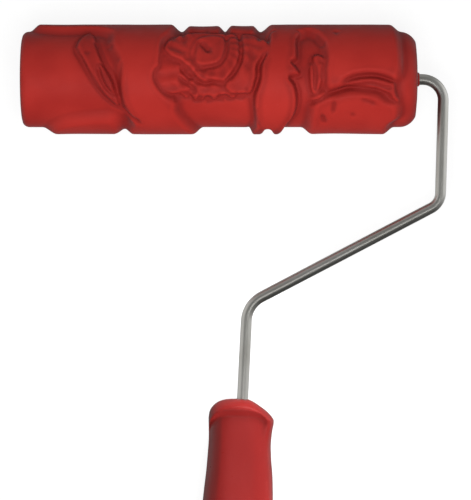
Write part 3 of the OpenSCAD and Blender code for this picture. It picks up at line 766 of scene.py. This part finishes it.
class Shade:
    """A node material on one Principled shader; noises run in object space, in metres."""

    def __init__(self, name, **constants):
        self.material = bpy.data.materials.new(name)
        self.material.use_nodes = True
        self.tree = self.material.node_tree
        self.shader = self.tree.nodes["Principled BSDF"]
        for socket_name, value in constants.items():
            self.shader.inputs[socket_name.replace("_", " ")].default_value = value
        self.place = self.add("ShaderNodeTexCoord").outputs["Object"]

    def add(self, kind, **settings):
        node = self.tree.nodes.new(kind)
        for name, value in settings.items():
            setattr(node, name, value)
        return node

    def link(self, source, node, socket_name):
        self.tree.links.new(source, node.inputs[socket_name])

    def stretched(self, scale, source=None):
        node = self.add("ShaderNodeMapping")
        node.inputs["Scale"].default_value = scale
        self.link(source or self.place, node, "Vector")
        return node.outputs["Vector"]

    def noise(self, size_mm, detail=3.0, roughness=0.5, source=None):
        """Noise with features of about the given size."""
        node = self.add("ShaderNodeTexNoise")
        node.inputs["Scale"].default_value = 1000.0 / size_mm
        node.inputs["Detail"].default_value = detail
        node.inputs["Roughness"].default_value = roughness
        self.link(source or self.place, node, "Vector")
        return node.outputs["Fac"]

    def ramp(self, factor, stops):
        """Colour ramp through (position, colour) stops."""
        node = self.add("ShaderNodeValToRGB")
        elements = node.color_ramp.elements
        while len(elements) < len(stops):
            elements.new(0.5)
        for element, (position, colour) in zip(elements, stops):
            element.position = position
            element.color = (*colour, 1)
        self.link(factor, node, "Fac")
        return node.outputs["Color"]

    def span(self, value, low, high, to_low=0.0, to_high=1.0):
        node = self.add("ShaderNodeMapRange")
        for socket_name, number in zip(SPAN_SOCKETS, (low, high, to_low, to_high)):
            node.inputs[socket_name].default_value = number
        self.link(value, node, "Value")
        return node.outputs["Result"]

    def mix(self, factor, a, b, blend="MIX"):
        node = self.add("ShaderNodeMix", data_type="RGBA", blend_type=blend)
        if isinstance(factor, float):
            node.inputs["Factor"].default_value = factor
        else:
            self.link(factor, node, "Factor")
        for index, colour in ((6, a), (7, b)):
            if isinstance(colour, tuple):
                node.inputs[index].default_value = (*colour, 1)
            else:
                self.tree.links.new(colour, node.inputs[index])
        return node.outputs[2]

    def bump(self, height, depth_mm, before=None):
        node = self.add("ShaderNodeBump")
        node.inputs["Distance"].default_value = depth_mm * MM
        node.inputs["Strength"].default_value = 1.0
        self.link(height, node, "Height")
        if before:
            self.link(before, node, "Normal")
        return node.outputs["Normal"]

    def finish(self, colour, roughness, normal=None):
        self.link(colour, self.shader, "Base Color")
        self.link(roughness, self.shader, "Roughness")
        if normal:
            self.link(normal, self.shader, "Normal")
        return self.material


def from_axle(shade):
    """Distance of a point from the roller's axle, in metres."""
    shift = shade.add("ShaderNodeVectorMath", operation="SUBTRACT")
    shift.inputs[1].default_value = (0, axle_point.y, axle_point.z)
    shade.link(shade.place, shift, 0)
    flat = shade.add("ShaderNodeVectorMath", operation="MULTIPLY")
    flat.inputs[1].default_value = (0, 1, 1)
    shade.link(shift.outputs[0], flat, 0)
    length = shade.add("ShaderNodeVectorMath", operation="LENGTH")
    shade.link(flat.outputs[0], length, 0)
    return length.outputs["Value"]


def rubber_material():
    """Satin red rubber, with painted shade in its grooves and down at its ground, and paler along the raised edges
    of the pattern.
    """
    shade = Shade("sleeve_rubber", Specular_IOR_Level=0.28, Sheen_Weight=0.06, Sheen_Roughness=0.35,
                  Sheen_Tint=(0.75, 0.45, 0.55, 1))
    # painted shade: the rubber is darker down at the ground than on top of the raised parts
    depth = shade.span(from_axle(shade), (GROUND_R - 1.0) * MM, RELIEF_R * MM)
    depth_shaded = shade.ramp(depth, [(0.0, (0.34, 0.020, 0.016)), (1.0, (0.39, 0.023, 0.018))])
    cloud = shade.span(shade.noise(24, 2.0), 0.35, 0.65)
    colour = shade.mix(cloud, depth_shaded, shade.mix(0.5, depth_shaded, (0.50, 0.034, 0.026)))
    hollow = shade.add("ShaderNodeAttribute", attribute_name="hollow").outputs["Fac"]
    # painted shade: darker in the grooves and where the carving is dense
    colour = shade.mix(shade.span(hollow, 0.12, 0.9, 0.0, 0.50), colour, (0.14, 0.010, 0.010))
    # paler along the raised edges of the pattern
    colour = shade.mix(shade.span(hollow, -0.1, -0.9, 0.0, 0.25), colour, (0.58, 0.040, 0.030))
    dust = shade.span(shade.noise(1.6, 5.0, 0.7), 0.62, 0.8, 0.0, 0.12)
    colour = shade.mix(dust, colour, (0.50, 0.12, 0.10))
    roughness = shade.span(shade.noise(9, 4.0, 0.6), 0.3, 0.7, 0.46, 0.58)
    skin = shade.bump(shade.noise(0.5, 3.0, 0.6), 0.012)
    waves = shade.bump(shade.noise(14, 2.0), 0.22, skin)
    return shade.finish(colour, roughness, waves)


def cap_material():
    shade = Shade("cap_plastic", Specular_IOR_Level=0.45)
    colour = shade.ramp(shade.noise(6, 3.0), [(0.3, (0.30, 0.022, 0.020)), (0.7, (0.37, 0.028, 0.025))])
    roughness = shade.span(shade.noise(3, 4.0), 0.3, 0.7, 0.38, 0.50)
    return shade.finish(colour, roughness, shade.bump(shade.noise(0.4, 3.0), 0.010))


def handle_material():
    shade = Shade("handle_plastic", Specular_IOR_Level=0.20, Subsurface_Weight=0.06, Subsurface_Scale=0.004,
                  Subsurface_Radius=(1.0, 0.25, 0.15))
    flow = shade.noise(18, 3.0, 0.5, shade.stretched((1.0, 0.35, 1.0)))
    colour = shade.ramp(flow, [(0.3, (0.168, 0.011, 0.010)), (0.7, (0.198, 0.014, 0.013))])
    rub = shade.span(shade.noise(2.2, 6.0, 0.75, shade.stretched((1.0, 0.25, 1.0))), 0.60, 0.78, 0.0, 0.25)
    colour = shade.mix(rub, colour, (0.42, 0.06, 0.055))
    roughness = shade.span(shade.noise(5, 5.0, 0.65), 0.3, 0.7, 0.27, 0.40)
    grain = shade.bump(shade.noise(0.35, 2.0), 0.008)
    sink = shade.bump(shade.noise(22, 1.0), 0.15, grain)
    return shade.finish(colour, roughness, sink)


def steel_material():
    """Drawn wire: fine lines run along it."""
    shade = Shade("rod_steel", Metallic=1.0)
    drawn = shade.add("ShaderNodeAttribute", attribute_name="drawn").outputs["Vector"]
    lines = shade.noise(0.35, 4.0, 0.6, shade.stretched((1.0, 1.0, 0.012), drawn))
    patches = shade.noise(9, 4.0, 0.6, shade.stretched((1.0, 1.0, 0.4), drawn))
    colour = shade.ramp(patches, [(0.25, (0.46, 0.45, 0.41)), (0.5, (0.55, 0.545, 0.51)),
                                  (0.8, (0.62, 0.615, 0.59))])
    roughness = shade.span(lines, 0.3, 0.7, 0.28, 0.42)
    return shade.finish(colour, roughness, shade.bump(lines, 0.010))


def zinc_material():
    shade = Shade("zinc_steel", Metallic=1.0)
    flake = shade.add("ShaderNodeTexVoronoi")
    flake.inputs["Scale"].default_value = 900.0
    shade.link(shade.place, flake, "Vector")
    spangle = shade.span(flake.outputs["Distance"], 0.0, 0.7)
    colour = shade.ramp(spangle, [(0.0, (0.62, 0.63, 0.62)), (1.0, (0.48, 0.49, 0.49))])
    roughness = shade.span(shade.noise(1.5, 4.0), 0.3, 0.7, 0.25, 0.42)
    return shade.finish(colour, roughness, shade.bump(shade.noise(0.3), 0.006))


def tube_material():
    """Extruded grey plastic: faint lines run along the tube."""
    shade = Shade("tube_plastic", Specular_IOR_Level=0.45)
    lines = shade.noise(0.6, 4.0, 0.6, shade.stretched((0.01, 1.0, 1.0)))
    colour = shade.ramp(lines, [(0.3, (0.50, 0.50, 0.48)), (0.7, (0.60, 0.60, 0.58))])
    roughness = shade.span(shade.noise(4, 3.0), 0.3, 0.7, 0.40, 0.55)
    return shade.finish(colour, roughness, shade.bump(lines, 0.012))


def nylon_material():
    shade = Shade("bush_nylon", Specular_IOR_Level=0.5, Subsurface_Weight=0.25, Subsurface_Scale=0.002)
    colour = shade.ramp(shade.noise(3, 3.0), [(0.3, (0.74, 0.72, 0.62)), (0.7, (0.80, 0.79, 0.71))])
    roughness = shade.span(shade.noise(1.0, 4.0), 0.3, 0.7, 0.30, 0.42)
    return shade.finish(colour, roughness, shade.bump(shade.noise(0.4), 0.008))


def socket_material():
    shade = Shade("socket_plastic", Specular_IOR_Level=0.5)
    colour = shade.ramp(shade.noise(9, 3.0), [(0.3, (0.015, 0.015, 0.016)), (0.7, (0.021, 0.021, 0.021))])
    roughness = shade.span(shade.noise(6, 3.0), 0.3, 0.7, 0.44, 0.52)
    return shade.finish(colour, roughness, shade.bump(shade.noise(0.4, 3.0), 0.008))


def wear(obj, material):
    obj.data.materials.clear()
    obj.data.materials.append(material)


# ---- assembly ----

MATERIALS = {
    "sleeve_rubber": rubber_material(),
    "cap_plastic": cap_material(),
    "handle_plastic": handle_material(),
    "rod_steel": steel_material(),
    "zinc_steel": zinc_material(),
    "tube_plastic": tube_material(),
    "bush_nylon": nylon_material(),
    "socket_plastic": socket_material(),
}


def fit(obj, body, slot_name, *nodes):
    """The piece rides on a body, stands for CAD nodes, and takes its slot's material."""
    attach(obj, body)
    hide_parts(*nodes)
    wear(obj, MATERIALS[slot_name])


fit(make_sleeve(), "roller", "sleeve_rubber", "pattern_sleeve")
fit(make_cap_left(), "roller", "cap_plastic", "end_cap_left")
fit(make_cap_right(), "roller", "cap_plastic", "end_cap_right")
fit(make_plug(), "roller", "cap_plastic", "hub_plug")
fit(make_rod(), "frame", "rod_steel", "wire_frame")
fit(make_handle(), "frame", "handle_plastic", "handle")
fit(make_socket(), "frame", "socket_plastic", "pole_socket")

KEPT_NODES = {
    "core_tube": "tube_plastic",
    "bearing_bush_left": "bush_nylon",
    "bearing_bush_right": "bush_nylon",
    "thrust_washer_inner": "zinc_steel",
    "thrust_washer_outer": "zinc_steel",
    "push_nut": "zinc_steel",
}
for node_name, slot_name in KEPT_NODES.items():
    wear(frame["nodes"][node_name], MATERIALS[slot_name])

# ---- camera, floor and light ----

VIEW_CENTRE = (7.29, -77.7)   # the middle of the picture, in the tool's own plane, in millimetres
VIEW_HEIGHT = 227.85          # what the picture's height covers there
VIEW_DISTANCE = 1.3           # in metres
FLOOR_HALF = 2.5              # in metres
FILL = 0.09                   # the surround's strength for what isn't glossy
BACKDROP = 0.95               # and for what the camera sees of it


def make_camera():
    camera = bpy.data.objects.new("camera", bpy.data.cameras.new("camera"))
    bpy.context.scene.collection.objects.link(camera)
    camera.data.sensor_fit = "VERTICAL"
    camera.data.angle = 2 * math.atan(VIEW_HEIGHT * MM / 2 / VIEW_DISTANCE)
    camera.data.clip_start = 0.01
    camera.matrix_world = TOOL @ Matrix.Translation((VIEW_CENTRE[0] * MM, VIEW_CENTRE[1] * MM, VIEW_DISTANCE))
    bpy.context.scene.camera = camera


def make_floor():
    corners = [(x * FLOOR_HALF, y * FLOOR_HALF, 0) for x, y in ((-1, -1), (1, -1), (1, 1), (-1, 1))]
    floor = new_object("floor", corners, [(0, 1, 2, 3)], smooth=False)
    shade = Shade("floor_paper", Emission_Color=(1, 1, 1, 1), Emission_Strength=0.88)
    colour = shade.ramp(shade.noise(6, 4.0), [(0.3, (0.14, 0.14, 0.14)), (0.7, (0.15, 0.15, 0.15))])
    wear(floor, shade.finish(colour, shade.span(shade.noise(10), 0.3, 0.7, 0.85, 0.9)))
    floor.visible_diffuse = False
    floor.visible_glossy = False


def area_light(name, place, aim, size, power):
    data = bpy.data.lights.new(name, "AREA")
    data.shape = "RECTANGLE"
    data.size, data.size_y = size
    data.energy = power
    light = bpy.data.objects.new(name, data)
    light.location = place
    light.rotation_euler = (Vector(aim) - Vector(place)).to_track_quat("-Z", "Y").to_euler()
    bpy.context.scene.collection.objects.link(light)
    return light


def make_world():
    """Even, dim surround for matt surfaces; gloss shows cards, and the camera sees near white."""
    world = bpy.data.worlds.new("studio")
    world.use_nodes = True
    bpy.context.scene.world = world
    tree = world.node_tree
    background = tree.nodes["Background"]
    direction = tree.nodes.new("ShaderNodeTexCoord").outputs["Generated"]

    def lobe(axis, start, end, low, high):
        dot = tree.nodes.new("ShaderNodeVectorMath")
        dot.operation = "DOT_PRODUCT"
        dot.inputs[1].default_value = axis
        tree.links.new(direction, dot.inputs[0])
        span = tree.nodes.new("ShaderNodeMapRange")
        span.interpolation_type = "SMOOTHSTEP"
        for name, value in zip(SPAN_SOCKETS, (start, end, low, high)):
            span.inputs[name].default_value = value
        tree.links.new(dot.outputs["Value"], span.inputs["Value"])
        return span.outputs["Result"]

    def combine(a, b, operation):
        node = tree.nodes.new("ShaderNodeMath")
        node.operation = operation
        tree.links.new(a, node.inputs[0])
        tree.links.new(b, node.inputs[1])
        return node.outputs["Value"]

    def pick(chooser, when_not, when_so):
        node = tree.nodes.new("ShaderNodeMix")
        tree.links.new(chooser, node.inputs["Factor"])
        for socket_name, value in (("A", when_not), ("B", when_so)):
            if isinstance(value, float):
                node.inputs[socket_name].default_value = value
            else:
                tree.links.new(value, node.inputs[socket_name])
        return node.outputs["Result"]

    # what gloss shows: cards at both sides, and a black one towards the lower right
    cards = lobe((0, 0, 1), 0.35, 0.92, 0.26, 0.24)
    for axis, strength in (((1, 0, 0), 0.80), ((-1, 0, 0), 0.50), ((-0.47, 0.88, 0), 0.20)):
        cards = combine(cards, lobe(axis, 0.45, 0.9, 0.0, strength), "ADD")
    cards = combine(cards, lobe((0.47, -0.88, 0.0), 0.35, 0.85, 1.0, 0.25), "MULTIPLY")
    rays = tree.nodes.new("ShaderNodeLightPath")
    strength = pick(rays.outputs["Is Glossy Ray"], FILL, cards)
    seen = pick(rays.outputs["Is Camera Ray"], strength, BACKDROP)
    tree.links.new(seen, background.inputs["Strength"])
    background.inputs["Color"].default_value = (1, 1, 1, 1)


make_camera()
make_floor()
make_world()
tool_middle = tool_point(0, -60)
key = area_light("key", tool_point(0, -170, 890), tool_middle, (0.45, 0.45), 7.0)
strip = area_light("strip", tool_point(60, -330, 900), tool_middle, (0.9, 0.25), 0.85)
bounce = area_light("bounce", tool_point(34, -96, 27), tool_point(10, -152), (0.06, 0.03), 0.115)
low = area_light("low", tool_point(75, -255, 60), tool_point(12, -188), (0.06, 0.06), 0.24)
key.visible_glossy = False
bounce.visible_glossy = False
low.visible_glossy = False
for lamp in (key, strip, bounce, low):
    lamp.visible_camera = False
bpy.context.scene.view_settings.view_transform = "Standard"
